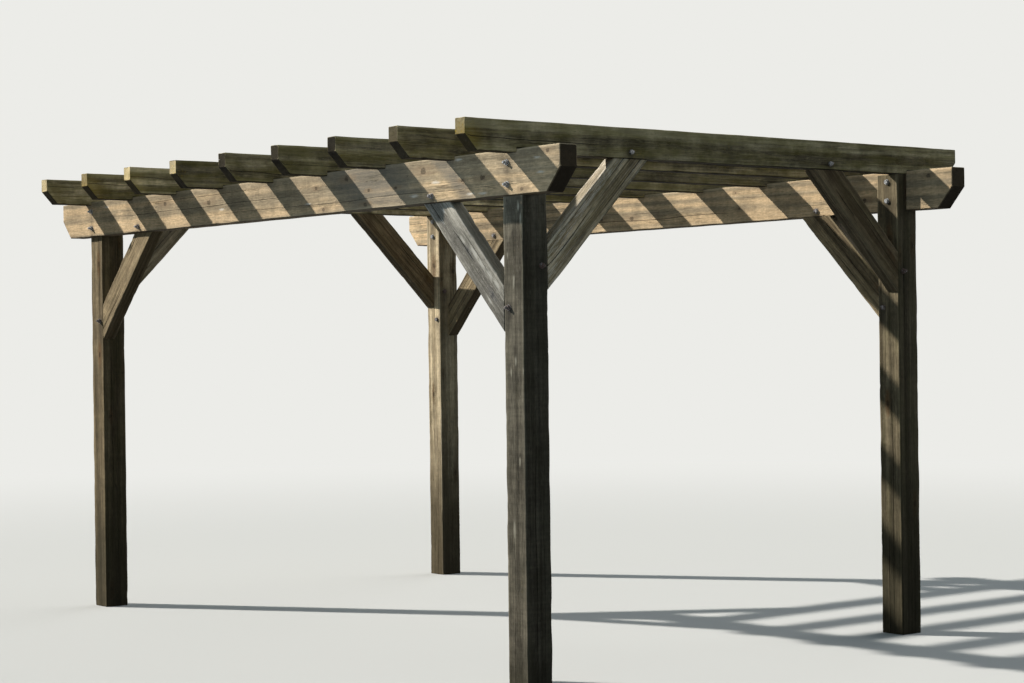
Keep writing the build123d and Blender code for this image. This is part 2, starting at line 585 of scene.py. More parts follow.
        fine = n.ramp(masks["Fibres"], 0.3, 0.7, 0.76, 1.22)
        for name, edge, amount in (
            ("Blotches", 0.34, self.blotch_amount),
            ("Mottle", 0.3, self.mottle_amount),
            ("Bars", 0.3, self.bar_amount),
        ):
            fine = n.times(n.ramp(masks[name], edge, 1 - edge, 1 - amount, 1 + amount), fine)
        colour = n.dim(colour, fine)

        # Stains, then silver on faces that look to the left end, which is also painted shade, then bleach on
        # faces that look up.
        for name, amount, display in (
            ("Stains", self.stain_amount, self.streak),
            ("Silver And Shade", self.silver_and_shade_amount, self.silver),
            ("Bleach", self.bleach_amount, self.silver),
        ):
            colour = n.tint(colour, masks[name], amount, display)
        # Painted shade: grey patches laid over the wood.
        if self.painted_shade_grey:
            share = n.times(n.attribute("painted_shade_grey"), n.ramp(streaks, 0.3, 0.6, 0.75, 1.0))
            colour = n.tint(colour, share, 1, self.painted_shade_grey)
        halo = n.times(masks["Halo"], n.ramp(streaks, 0.3, 0.6, 0.3, 0.75))
        heart = n.times(masks["Knot"], n.ramp(masks["Fibres"], 0.35, 0.65, 0.6, 0.95))
        for mask, amount, display in (
            (halo, 1, self.halo),
            (heart, 1, self.knot),
            (masks["Hairlines"], self.check_amount, self.hairline),
            (masks["Frayed"], self.fray_amount, self.worn),
        ):
            colour = n.tint(colour, mask, amount, display)
        cut = n.mix(n.ramp(masks["Rings"], 0.0, 1.0), linear(self.light), linear(self.dark))
        colour = n.mix(n.times(masks["End"], self.end_amount), colour, cut)

        wear = n.times(n.attribute("wear"), n.ramp(streaks, 0.40, 0.62, 1.0, 0.1))
        grown = n.attribute("lichen")
        layers = [(wear, self.wear_amount, self.worn), (masks["Flecks"], self.fleck_amount, self.worn)]
        if rubbed:
            layers.append((rubbed, self.scuff_amount, self.scuff))
        layers += [
            (masks["Algae"], self.algae_amount, self.algae),
            (grown, self.lichen_stain, self.lichen),
            (n.times(masks["Lichen"], n.plus(grown, self.lichen_amount), clamp=True), 1, self.lichen),
        ]
        for mask, amount, display in layers:
            colour = n.tint(colour, mask, amount, display)

        # The tone lightens some ends as painted light and darkens the darkest rafter front ends as painted
        # shade.
        colour = n.dim(colour, n.attribute("tone"))
        stain = n.times(n.attribute("stain"), n.ramp(streaks, 0.7, 0.3, 0.5, 1.0))
        # Damp, iron stains, painted shade on faces that look down and, where a finish asks for it, painted
        # shade on faces that look to the right end.
        layers = [
            (masks["Damp And Shade"], self.damp_and_shade_amount, self.damp_and_shade),
            (stain, self.iron_amount, self.iron),
            (masks["Underside Shade"], self.underside_shade_amount, self.underside_shade),
        ]
        # Painted shade on faces that look to the right end.
        if self.shade_amount:
            layers.append((masks["Shade"], self.shade_amount, self.shaded))
        for mask, amount, display in (*layers, (n.attribute("split"), 1, self.inside)):
            colour = n.tint(colour, mask, amount, display)
        return colour

    def height(self, n: Nodes, masks: dict[str, Socket]) -> Socket:
        """Relief in millimetres or so: hard rings and knots stand out, fibres are rough, hairlines are cut.

        Args:
            n: Writer of the material.
            masks: Outputs of the shared groups by name.

        Returns:
            The height.
        """
        height = n.times(masks["Knot"], 0.5)
        for name, amount in (("Rings", 0.45), ("Fibres", 0.5), ("Streaks", 0.8), ("Hairlines", -1.2),
                             ("Saw Marks", 0.035)):
            height = n.plus(height, n.times(masks[name], amount))
        return height


@dataclass(frozen=True)
class SteelFinish:
    """Galvanised steel that has dulled, with rust in patches."""

    name: str = "galvanised_steel"
    zinc: Display = (176, 178, 180)
    dull: Display = (104, 106, 108)
    rust: Display = (72, 46, 32)
    rust_amount: float = 0.9
    bump: float = 0.6
    pit_depth: float = 0.0006

    def material(self) -> bpy.types.Material:
        """Builds the material.

        Returns:
            The new material.
        """
        material = bpy.data.materials.new(self.name)
        n = Nodes.fresh(material)
        spangle, spread, pits = (n.noise(n.place(), (often,) * 3, detail, rough) for often, detail, rough in
                                 ((210, 2, 0.5), (75, 4, 0.65), (900, 3, 0.5)))
        patches = n.ramp(n.plus(spread, n.attribute("rust")), 0.62, 1.05)
        colour = n.mix(n.ramp(spangle, 0.35, 0.65), linear(self.dull), linear(self.zinc))
        relief = {"Strength": self.bump, "Distance": self.pit_depth, "Height": pits}
        shader = n.add("ShaderNodeBsdfPrincipled", {
            "Base Color": n.tint(colour, patches, self.rust_amount, self.rust),
            "Metallic": n.ramp(patches, 0.0, 1.0, 0.5, 0.05),
            "Roughness": n.ramp(patches, 0.0, 1.0, 0.5, 0.85),
            "Normal": n.add("ShaderNodeBump", relief).outputs[0],
        })
        n.add("ShaderNodeOutputMaterial", {"Surface": shader.outputs[0]})
        return material


@dataclass
class Shell:
    """Arrays of one mesh on their way into Blender."""

    points: np.ndarray
    quads: np.ndarray
    triangles: np.ndarray
    uv: np.ndarray | None = None
    values: dict[str, np.ndarray] = field(default_factory=dict)

    @classmethod
    def joined(cls, parts: list["Shell"], values: dict[str, np.ndarray]) -> "Shell":
        """Shells without places and values of their own as one, with the values given for all points.

        Args:
            parts: The shells.
            values: Values of all points by name.

        Returns:
            The shell.
        """
        starts = np.cumsum([0] + [len(part.points) for part in parts])
        quads = np.vstack([part.quads + start for part, start in zip(parts, starts)])
        triangles = np.vstack([part.triangles + start for part, start in zip(parts, starts)])
        return cls(np.vstack([part.points for part in parts]), quads, triangles, values=values)

    @staticmethod
    def ladder(rows: np.ndarray) -> np.ndarray:
        """Quads between rows of point numbers, each row closed to a ring."""
        beside = np.roll(rows, -1, 1)
        return np.stack([rows[:-1], beside[:-1], beside[1:], rows[1:]], -1).reshape(-1, 4)

    def piece(self, name: str, material: bpy.types.Material, sharp: float = 38.0) -> bpy.types.Object:
        """Puts the arrays into a mesh and links its object to the scene.

        Args:
            name: Name of the object.
            material: Its finish.
            sharp: Angle in degrees past which an edge is shaded sharp.

        Returns:
            The new object, at the origin.
        """
        mesh = bpy.data.meshes.new(name)
        corners = np.concatenate([self.quads.ravel(), self.triangles.ravel()]).astype(np.int32)
        totals = np.repeat([4, 3], [len(self.quads), len(self.triangles)])
        mesh.vertices.add(len(self.points))
        mesh.vertices.foreach_set("co", self.points.astype(np.float32).ravel())
        mesh.loops.add(len(corners))
        mesh.loops.foreach_set("vertex_index", corners)
        mesh.polygons.add(len(totals))
        mesh.polygons.foreach_set("loop_start", (np.cumsum(totals) - totals).astype(np.int32))
        mesh.polygons.foreach_set("loop_total", totals.astype(np.int32))
        mesh.update(calc_edges=True)
        if self.uv is not None:
            layer = mesh.uv_layers.new(name="around")
            layer.data.foreach_set("uv", self.uv.astype(np.float32).ravel())
        for label, value in self.values.items():
            kind, slot = ("FLOAT", "value") if value.ndim == 1 else ("FLOAT_VECTOR", "vector")
            data = mesh.attributes.new(label, kind, "POINT").data
            data.foreach_set(slot, value.astype(np.float32).ravel())
        mesh.materials.append(material)
        mesh.shade_smooth()
        mesh.set_sharp_from_angle(angle=math.radians(sharp))
        piece = bpy.data.objects.new(name, mesh)
        bpy.context.scene.collection.objects.link(piece)
        return piece


def ripple(draw: np.random.Generator, s: np.ndarray, t: np.ndarray, reach: tuple[float, float]) -> np.ndarray:
    """Smooth random field from 0 to 1: a sum of sine waves with random directions, lengths and phases.

    Args:
        draw: Source of random numbers.
        s: First parameter, in metres.
        t: Second parameter, in metres, that fits beside s.
        reach: Typical wavelength along s and along t.

    Returns:
        Values in the shape of s and t together.
    """
    waves = 7
    along = draw.uniform(0.5, 1.6, waves) / reach[0]
    beside = draw.uniform(-1.6, 1.6, waves) / reach[1]
    phase = draw.uniform(0, 2 * math.pi, waves)
    angle = 2 * math.pi * (s[..., None] * along + t[..., None] * beside) + phase
    return 0.5 + 0.5 * np.tanh(np.sin(angle).sum(-1) / math.sqrt(waves))


@dataclass(frozen=True)
class Split:
    """Drying check: a groove along the grain. Start and end are shares of the length and may lie past it."""

    side: Side
    across: float
    start: float
    end: float
    width: float
    depth: float


@dataclass
class Timber:
    """One sawn timber: its section carried along its length, cut, worn, split and open at both ends.

    The section runs from 0 to width along the axis `side`, and from 0 to depth along the axis `rise`. Its
    lower face follows `low`, pairs of distance along the piece and level, so that clips, notches and seats
    are cut into it. `lean` is how far both ends slope back per metre of depth. `pace` and `lane` are the
    steps of the mesh along and across the piece, and `corner_room` is what the lines leave free at corners.
    `end_tones` are tones of the start and the end face. The lightening of the length near both ends, and its
    reach, are painted light. Each of the grey patches is a place along the piece, its reach and an amount of
    painted shade.
    """

    node: str
    slot: str
    origin: Place
    along: Place
    rise: Place
    width: float
    depth: float
    length: float
    low: Rows = ()
    lean: float = 0.0
    bow: float = 0.0
    arris: float = 0.004
    chips: int = 5
    splits: tuple[Split, ...] = ()
    lichen_start: float = 0.0
    end_tones: tuple[float, float] = (1.0, 1.0)
    washed: float = 0.0
    painted_light_ends: tuple[float, float] = (0.0, 0.0)
    painted_light_reach: float = 0.5
    painted_shade_patches: Rows = ()
    seed: int = 0
    pace: float = 0.02
    lane: float = 0.014
    corner_room: float = 0.013
    corner_turns: int = 4
    corner_width: float = 0.003
    end_arris: float = 0.0025
    end_crack: float = 0.018
    fade: float = 0.08
    wear: float = 0.0013
    meander: float = 0.012
    saw_depth: float = 0.0009
    floor_step: float = 0.0006
    cut_fade: float = 0.006
    dark_depth: float = 0.003
    crack_depth: float = 0.006
    chip_depth: float = 0.004
    rub_reach: float = 0.012
    least_opening: float = 0.0003

    @property
    def axes(self) -> np.ndarray:
        """Rows: the axes side, rise and along, as a right-handed frame."""
        rise, along = (np.array(way, float) / np.linalg.norm(way) for way in (self.rise, self.along))
        return np.array([np.cross(rise, along), rise, along])

    @property
    def starts(self) -> tuple[float, ...]:
        """Distance round the section at which each long face starts."""
        return (0.0, self.width, self.width + self.depth, 2 * self.width + self.depth)

    def stations(self) -> np.ndarray:
        """Distances along the piece at which the section stands: even steps, every cut and the worn ends.

        Returns:
            The distances in rising order.
        """
        margin, least = 0.012, 0.003
        even = np.linspace(margin, self.length - margin, max(4, round(self.length / self.pace)))
        ends = np.array([0, 0.06, 0.3, 1.0, 2.2]) * self.end_arris
        cuts = np.array([s for s, _ in self.low if 0 < s < self.length])
        fixed = np.concatenate([ends, self.length - ends, cuts])
        free = even[np.abs(even[:, None] - fixed[None, :]).min(1) > least]
        return np.sort(np.concatenate([free, fixed]))

    def columns(self) -> dict[str, np.ndarray]:
        """Lays out the lines that run along the piece, in order round the section.

        Returns:
            For each line its face, its distance across the face, its split or -1, its place in the split
            from -1 to 1, and its angle in a corner or -1.
        """
        clearance = 0.004
        rows = []
        for side, span in zip(Side, (self.width, self.depth) * 2):
            lanes = [(i, c.across * span) for i, c in enumerate(self.splits) if c.side is side]
            even = np.linspace(self.corner_room, span - self.corner_room, max(2, round(span / self.lane)))
            found = [(t, -1, 0.0) for t in even if all(abs(t - centre) > clearance for _, centre in lanes)]
            found += [(centre, i, place) for i, centre in lanes for place in (-1.0, -0.45, 0.0, 0.45, 1.0)]
            found.sort(key=lambda row: (row[0], row[2]))
            rows += [(side.value, t, lane, place, -1.0) for t, lane, place in found]
            quarter = np.linspace(0, math.pi / 2, self.corner_turns)
            rows += [(side.value, span, -1, 0.0, turn) for turn in quarter]
        names = ("face", "across", "lane", "place", "turn")
        return {name: np.array(column) for name, column in zip(names, zip(*rows))}

    def surface(self) -> Shell:
        """Works out the skin and both end faces.

        The section is a rectangle with round corners. At each station its lower face takes the level of
        `low`, lines on the sides keep their height or are pushed up by the cut, and every line moves inwards
        by wear, by its split's groove and by the rounding at the ends.

        Returns:
            The closed shell with its unrolled places and the values that the finish reads.
        """
        draw = np.random.default_rng(self.seed)
        s = self.stations()[:, None]
        line = self.columns()
        face, across, turn = line["face"], line["across"], line["turn"]
        at_corner = turn >= 0
        low = np.interp(s, *zip(*self.low)) if self.low else np.zeros_like(s)
        around = np.array(self.starts)[face] + across
        around = around + np.where(at_corner, (turn - math.pi / 4) * self.corner_width, 0)

        shift, groove = self.openings(s, line)
        inward = self.wear * ripple(draw, s, around[None, :], (0.35, 0.09))
        close = np.maximum(self.end_arris - np.minimum(s, self.length - s), 0)
        inward = inward + self.end_arris - np.sqrt(np.maximum(self.end_arris**2 - close**2, 0))
        meander = (ripple(draw, s, s * 0, (0.9, 1.0)) - 0.5) * self.meander
        spans = np.array([self.width, self.depth] * 2)[face]
        t = across + meander * np.sin(math.pi * np.clip(across / spans, 0, 1)) * ~at_corner + shift
        radius, chipped = self.corners(draw, s)
        rounding = radius[:, (face + 1) % 4]

        height = np.where(face == Side.RIGHT.value, t, self.depth - t)
        floor = low + radius.max(1, keepdims=True) + self.floor_step * (1 + self.ranks(face, at_corner))
        upright = face % 2 == 1
        groove = np.where(upright, groove * np.clip((height - floor) / self.cut_fade, 0, 1), groove)
        height = np.maximum(height, floor)
        inset = inward + groove
        a = np.select([face == 0, face == 1, face == 2], [t, self.width - inset, self.width - t], inset)
        b = np.select([face == 0, face == 2], [low + inset, self.depth - inset], height)
        reach = rounding + inward
        angle = turn + (face - 1) * math.pi / 2
        upper = (face == Side.RIGHT.value) | (face == Side.UPPER.value)
        corner_a = np.where(face < 2, self.width - reach, reach) + rounding * np.cos(angle)
        corner_b = np.where(upper, self.depth - reach, low + reach) + rounding * np.sin(angle)
        a, b = np.where(at_corner, corner_a, a), np.where(at_corner, corner_b, b)

        deepest = max(groove.max(), 1e-6)
        push = [self.end_crack * row / deepest * (line["place"] == 0) for row in groove[[0, -1]]]
        drawn_in = [
            shove * np.clip(1 - gap / self.fade, 0, 1) ** 2
            for shove, gap in zip(push, (s, self.length - s))
        ]
        caps = [self.cap(draw, a[row], b[row], push[row], sign) for row, sign in ((0, 1), (-1, -1))]
        slope = np.abs(np.gradient(low[:, 0], s[:, 0]))[:, None]
        edge = np.where(at_corner, 0.8, 0.5 * np.exp(-np.minimum(across, spans - across) / self.rub_reach))
        skin = {
            "a": a, "b": b, "s": s + drawn_in[0] - drawn_in[1],
            "wear": np.clip(edge + chipped[:, (face + 1) % 4] * at_corner, 0, 1),
            "split": np.clip(groove / self.dark_depth, 0, 1),
            "end_face": np.where((face == 0) & (slope > 0.3), 0.8, 0.0),
        }
        return self.placed(draw, *self.capped(skin, caps, s, np.append(around, self.starts[3] + self.depth)))

    @staticmethod
    def ranks(face: np.ndarray, at_corner: np.ndarray) -> np.ndarray:
        """Number of each line on the right and left faces, counted from the lower face.

        Args:
            face: Face of each line.
            at_corner: Whether the line lies in a round corner.

        Returns:
            The numbers, 0 on the other faces and in corners.
        """
        rank = np.zeros(len(face))
        for side, way in ((Side.RIGHT, 1), (Side.LEFT, -1)):
            chosen = (face == side.value) & ~at_corner
            rank[chosen] = np.arange(chosen.sum())[::way]
        return rank

    def openings(self, s: np.ndarray, line: dict[str, np.ndarray]) -> tuple[np.ndarray, np.ndarray]:
        """Opens the splits.

        A split's half width and depth follow sqrt(1 - x * x), where x runs from -1 to 1 over its length.

        Args:
            s: Stations along the piece, as a column.
            line: Lines round the section.

        Returns:
            Sideways shift and depth of each line at each station.
        """
        shift = np.zeros((len(s), len(line["face"])))
        depth = np.zeros_like(shift)
        for number, split in enumerate(self.splits):
            chosen = line["lane"] == number
            x = (2 * s / self.length - split.start - split.end) / (split.end - split.start)
            size = np.sqrt(np.clip(1 - x * x, 0, 1))
            place = line["place"][chosen]
            shift[:, chosen] = place * (self.least_opening + size * split.width / 2)
            depth[:, chosen] = size * split.depth * np.clip(1.15 - np.abs(place) * 1.15, 0, 1)
        return shift, depth

    def corners(self, draw: np.random.Generator, s: np.ndarray) -> tuple[np.ndarray, np.ndarray]:
        """Radius of each long corner and how much of it is chipped. Chips are bell curves along the piece.

        Args:
            draw: Source of random numbers.
            s: Stations along the piece, as a column.

        Returns:
            Radius in metres and chipping from 0 to 1, for each station and corner.
        """
        base = self.arris * (0.7 + 0.7 * ripple(draw, s, np.arange(4)[None, :] * 1.7, (0.5, 2.0)))
        where, reach, size = (draw.uniform(low, high, (self.chips, 4)) for low, high in
                              ((0, self.length), (0.006, 0.035), (0.001, 0.006)))
        chipped = (size * bell((s[:, :, None] - where) / reach)).sum(1)
        return np.minimum(base + chipped, self.corner_room - 0.001), np.clip(chipped / self.chip_depth, 0, 1)

    def cap(self, draw: np.random.Generator, a: np.ndarray, b: np.ndarray, push: np.ndarray,
            sign: int) -> dict[str, np.ndarray]:
        """Draws an end face: copies of the rim nearer to the middle, with rough saw marks and open cracks.

        Args:
            draw: Source of random numbers.
            a: Place of the rim along the axis side.
            b: Place of the rim along the axis rise.
            push: How far each point of the rim is pushed in by a split.
            sign: 1 at the start of the piece, -1 at its end.

        Returns:
            For each point, ring by ring and the middle last, its place and values.
        """
        shares = np.array([0.97, 0.88, 0.74, 0.56, 0.36, 0.16])[:, None]
        middle_a, middle_b = (a.min() + a.max()) / 2, (b.min() + b.max()) / 2
        ring_a = middle_a + shares * (a - middle_a)
        ring_b = middle_b + shares * (b - middle_b)
        rough = self.saw_depth * ripple(draw, ring_a, ring_b, (0.03, 0.05))
        inset = push * np.clip((shares - 0.25) / 0.6, 0, 1) + rough
        return {
            "a": np.append(ring_a, middle_a),
            "b": np.append(ring_b, middle_b),
            "s": sign * np.append(inset, 0.0005) + (self.length if sign < 0 else 0),
            "wear": np.zeros(ring_a.size + 1),
            "split": np.append(np.clip(inset / self.crack_depth - 0.3, 0, 1), 0),
            "end_face": np.ones(ring_a.size + 1),
        }

    @staticmethod
    def capped(skin: dict[str, np.ndarray], caps: list[dict[str, np.ndarray]], s: np.ndarray,
               wrapped: np.ndarray) -> tuple[dict, np.ndarray, np.ndarray, np.ndarray]:
        """Closes the skin with its end faces.

        Args:
            skin: Place and values of each point of the skin, by station and line.
            caps: The same for both end faces.
            s: Stations along the piece, as a column.
            wrapped: Distance of each line round the section, and the full round.

        Returns:
            Place and values of all points, the quads, the triangles and the places of their corners on the
            unrolled faces.
        """
        shape = skin["a"].shape
        flat = {name: np.broadcast_to(value, shape).ravel() for name, value in skin.items()}
        index = np.arange(math.prod(shape)).reshape(shape)
        u = np.stack([wrapped[:-1], wrapped[1:], wrapped[1:], wrapped[:-1]], -1)
        v = np.stack([s[:-1], s[:-1], s[1:], s[1:]], -1)[:, 0]
        quads, triangles = [Shell.ladder(index)], []
        uv, uv_fans = [np.stack(np.broadcast_arrays(u[None, :, :], v[:, None, :]), -1).reshape(-1, 2)], []
        for row, cap, order, way in ((0, caps[0], (0, 3, 2, 1), 1), (-1, caps[1], (1, 2, 3, 0), -1)):
            base, size = len(flat["a"]), len(cap["a"])
            rungs = np.vstack([index[row], base + np.arange(size - 1).reshape(-1, shape[1])])
            faces = Shell.ladder(rungs)[:, order]
            middle = np.full(shape[1], base + size - 1)
            fan = np.stack([rungs[-1], middle, np.roll(rungs[-1], -1)], -1)[:, ::way]
            flat = {name: np.concatenate([value, cap[name]]) for name, value in flat.items()}
            for corners, found, places in ((faces, quads, uv), (fan, triangles, uv_fans)):
                found.append(corners)
                places.append(np.stack([flat["a"][corners] + 2, flat["b"][corners]], -1).reshape(-1, 2))
        return flat, np.vstack(quads), np.vstack(triangles), np.vstack(uv + uv_fans)

    def placed(self, draw: np.random.Generator, flat: dict[str, np.ndarray], quads: np.ndarray,
               triangles: np.ndarray, uv: np.ndarray) -> Shell:
        """Leans the ends, bows the piece by half a sine wave and turns it into the part's frame.

        Args:
            draw: Source of random numbers.
            flat: Place and values of each point.
            quads: Faces with four corners.
            triangles: Faces with three corners.
            uv: Unrolled place of every face corner.

        Returns:
            The shell with the values that the finish reads.
        """
        a, b, s = flat["a"], flat["b"], flat["s"]
        along = b * self.lean + s * (1 - 2 * b * self.lean / self.length)
        local = np.stack([a + self.bow * np.sin(math.pi * s / self.length), b, along], -1)
        points = np.array(self.origin) + local @ self.axes
        pith = draw.uniform((0.2, 0.15), (0.8, 0.55)) * (self.width, self.depth)
        tilt = draw.uniform(-0.012, 0.012, 2)
        from_pith = (a - pith[0] - tilt[0] * along, b - pith[1] - tilt[1] * along)
        grain = np.stack([*from_pith, along + self.seed * 7.3], -1)
        line = 0.60 + 0.03 * np.sin(s * 5.1 + self.seed) + 0.015 * np.sin(s * 13.7 + 2 * self.seed)
        washed = self.washed * np.clip((b / self.depth - line) / 0.12, 0, 1)
        # End-face tones; the darkest rafter front ends are painted shade.
        start, end = self.end_tones
        tone = (1 + (start - 1) * bell(s / 0.02, 4)) * (1 + (end - 1) * (s > self.length / 2))
        tone = np.where(flat["end_face"] > 0.5, tone, 1)
        # Painted light: the length is lighter near the ends.
        for pale, gap in zip(self.painted_light_ends, (s, self.length - s)):
            tone = tone * (1 + pale * bell(gap / self.painted_light_reach, 4))
        values = {
            "wear": np.maximum(flat["wear"], washed), "split": flat["split"], "end_face": flat["end_face"],
            "grain_at": grain, "tone": tone, "stain": stains(points),
            "lichen": self.lichen_start * bell(s / 0.09) * np.clip(1.85 - b / 0.089, 0.3, 1),
        }
        # Painted shade: slanted grey patches along the piece, near the face where the axis side starts.
        if self.painted_shade_patches:
            slant = s + 1.2 * (b - self.depth / 2)
            patches = [
                amount * bell((slant - middle) / reach, 4)
                for middle, reach, amount in self.painted_shade_patches
            ]
            values["painted_shade_grey"] = np.max(patches, 0) * np.clip(1.2 - a / 0.05, 0, 1)
        return Shell(points, quads, triangles, uv, values)

    def dress(self, material: bpy.types.Material) -> None:
        """Builds the piece and puts it in place of its solid.

        Args:
            material: Its finish.
        """
        piece = self.surface().piece(f"weathered_{self.node}", material)
        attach(piece, "root")
        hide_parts(self.node)
        log.info("%s: %d faces", piece.name, len(piece.data.polygons))


@dataclass(frozen=True)
class Bolt:
    """A bolt through a joint: where its axis meets both faces, with the nut outside, and how rusty it is."""

    outer: np.ndarray
    inner: np.ndarray
    rust: float


@dataclass(frozen=True)
class Bolts:
    """All bolts at one post: two through the beam's seat, and one at each end of both braces."""

    corner: str
    beam_rises: tuple[float, float] = (0.155, 0.052)
    brace_head_rise: float = 0.033
    brace_reach: float = 0.600
    foot_drop: float = 0.525
    foot_inset: float = 0.038
    sunk: float = 0.001
    rod: float = 0.007
    stick_out: float = 0.027
    nut_flats: float = 0.022
    nut_thick: float = 0.011
    washer: float = 0.015
    washer_thick: float = 0.003
    head_thick: float = 0.010
    thread_pitch: float = 0.002
    thread_depth: float = 0.0009
    taper: float = 0.0012
    disc_sides: int = 24
    nut_sides: int = 36
    thread_sides: int = 20
    thread_levels: int = 60
    rust: tuple[float, ...] = (0.15, 0.15, 0.3, 0.4, 0.25, 0.5)

    def bolts(self) -> list[Bolt]:
        """Works out the bolts for the back right post, from the sizes that the timbers share, and mirrors them.

        Returns:
            The bolts, in the order of rust.
        """
        rafter_in = SIDE_OUT - (RAFTER_HIGH.x - RAFTER_LOW.x)
        post_middle = (POST_IN + POST_OUT) / 2
        side_middle = (SIDE_IN + SIDE_OUT) / 2
        beam_head, beam_foot = BEAM_UNDER + self.brace_head_rise, BEAM_UNDER - self.foot_drop
        rafter_head, rafter_foot = RAFTER_UNDER + self.brace_head_rise, RAFTER_UNDER - self.foot_drop
        crossing_y = [(side_middle, BEAM_UNDER + rise, BEAM_OUTER, POST_IN) for rise in self.beam_rises]
        crossing_y += [(side_middle - self.brace_reach, beam_head, BEAM_OUTER, BEAM_INNER),
                       (SIDE_IN + self.foot_inset, beam_foot, POST_OUT, POST_IN)]
        crossing_x = [(post_middle - self.brace_reach, rafter_head, SIDE_OUT, rafter_in),
                      (POST_IN + self.foot_inset, rafter_foot, SIDE_OUT, SIDE_IN)]
        ends = [((x, outer, z), (x, inner, z)) for x, z, outer, inner in crossing_y]
        ends += [((outer, y, z), (inner, y, z)) for y, z, outer, inner in crossing_x]
        turned = np.array(ends) * (*signs(self.corner), 1)
        return [Bolt(outer, inner, rust) for (outer, inner), rust in zip(turned, self.rust)]

    @staticmethod
    def turned(place: np.ndarray, out: np.ndarray, levels: np.ndarray, radius: np.ndarray) -> Shell:
        """Closed shape round an axis: radius over level and angle, with a point on the axis at both ends.

        Args:
            place: Point on the axis at level 0.
            out: Direction of the axis.
            levels: Distances along the axis.
            radius: Radius at each level and angle.

        Returns:
            The shell, with faces outwards.
        """
        rows, sides = radius.shape
        angle = np.arange(sides) * 2 * math.pi / sides
        first = np.cross(out, (0.0, 0.0, 1.0))
        second = np.cross(out, first)
        ring = np.cos(angle)[:, None] * first + np.sin(angle)[:, None] * second
        body = place + levels[:, None, None] * out + radius[:, :, None] * ring
        points = np.vstack([body.reshape(-1, 3), place + levels[0] * out, place + levels[-1] * out])
        index = np.arange(rows * sides).reshape(rows, sides)
        low = np.stack([np.roll(index[0], -1), index[0], np.full(sides, rows * sides)], -1)
        high = np.stack([index[-1], np.roll(index[-1], -1), np.full(sides, rows * sides + 1)], -1)
        return Shell(points, Shell.ladder(index), np.vstack([low, high]))

    def disc(self, place: np.ndarray, out: np.ndarray) -> Shell:
        """Washer: a turned disc with eased rims.

        Args:
            place: Middle of its lower face.
            out: Direction of the axis.

        Returns:
            The shell.
        """
        levels = np.array([0, 0.15, 0.85, 1]) * self.washer_thick
        rims = self.washer - np.array([0.1, 0, 0, 0.1]) * self.washer_thick
        return self.turned(place, out, levels, rims[:, None] * np.ones(self.disc_sides))

    def hexagon(self, place: np.ndarray, out: np.ndarray, thick: float, spin: float) -> Shell:
        """Nut or bolt head: a hexagon, limited by a cone at both ends.

        The hexagon's radius is half its flats over the cosine of the angle from the nearest flat's middle.

        Args:
            place: Middle of its lower face.
            out: Direction of the axis.
            thick: Its height.
            spin: Angle that it is turned by.

        Returns:
            The shell.
        """
        angle = np.arange(self.nut_sides) * 2 * math.pi / self.nut_sides + spin
        flat = self.nut_flats / 2 / np.cos((angle + math.pi / 6) % (math.pi / 3) - math.pi / 6)
        levels = np.array([0, 0.08, 0.16, 0.84, 0.92, 1]) * thick
        limit = self.nut_flats * np.array([0.50, 0.545, 0.60, 0.60, 0.545, 0.50])
        return self.turned(place, out, levels, np.minimum(flat[None, :], limit[:, None]))

    def thread(self, place: np.ndarray, out: np.ndarray) -> Shell:
        """Threaded end: the radius rises and falls by a triangle wave of level over pitch minus turn.

        Args:
            place: Point where it starts.
            out: Direction of the axis.

        Returns:
            The shell.
        """
        levels = np.linspace(0, self.stick_out, self.thread_levels)
        turn = np.arange(self.thread_sides) / self.thread_sides
        wave = np.abs((levels[:, None] / self.thread_pitch - turn[None, :]) % 1 - 0.5) * 2
        narrowing = 1 - np.clip((self.stick_out - levels) / 0.002, 0, 1)[:, None]
        return self.turned(place, out, levels, self.rod - self.thread_depth * wave - self.taper * narrowing)

    def shell(self) -> Shell:
        """Every bolt of the post: washer, nut and threaded end outside, washer and head inside.

        Returns:
            One shell with the rust of each point.
        """
        draw = np.random.default_rng(len(self.corner) * 11 + ord(self.corner[0]))
        parts, rust = [], []
        for bolt in self.bolts():
            out = (bolt.outer - bolt.inner) / np.linalg.norm(bolt.outer - bolt.inner)
            outer, inner = bolt.outer - self.sunk * out, bolt.inner + self.sunk * out
            nut_spin, head_spin = draw.uniform(0, math.pi / 3, 2)
            found = [
                self.disc(outer, out),
                self.hexagon(outer + self.washer_thick * out, out, self.nut_thick, nut_spin),
                self.thread(outer, out),
                self.disc(inner, -out),
                self.hexagon(inner - self.washer_thick * out, -out, self.head_thick, head_spin),
            ]
            parts += found
            rust += [bolt.rust] * sum(len(part.points) for part in found)
        return Shell.joined(parts, {"rust": np.array(rust)})

    def dress(self, material: bpy.types.Material) -> None:
        """Builds the bolts of this post as one piece.

        Args:
            material: Their finish.
        """
        piece = self.shell().piece(f"bolts_{self.corner}", material, 30.0)
        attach(piece, "root")
        log.info("%s: %d bolts", piece.name, len(self.bolts()))


ALL_BOLTS = [bolt for corner in POST for bolt in Bolts(corner).bolts()]
BOLT_ENDS = np.array([end for bolt in ALL_BOLTS for end in (bolt.outer, bolt.inner)])


def stains(points: np.ndarray) -> np.ndarray:
    """Iron stain round each bolt that runs down from it: bell curves of the distance beside and below.

    Args:
        points: Places in the part's frame.

    Returns:
        Amount from 0 to 1 at each place.
    """
    beside_reach, above_reach, below_reach = 0.024, 0.022, 0.10
    gap = points[:, None] - BOLT_ENDS
    beside = np.hypot(gap[..., 0], gap[..., 1]) / beside_reach
    above = np.maximum(gap[..., 2], 0) / above_reach
    below = np.maximum(-gap[..., 2], 0) / below_reach
    return np.exp(-(beside**2) - above**2 - below**2).max(1)


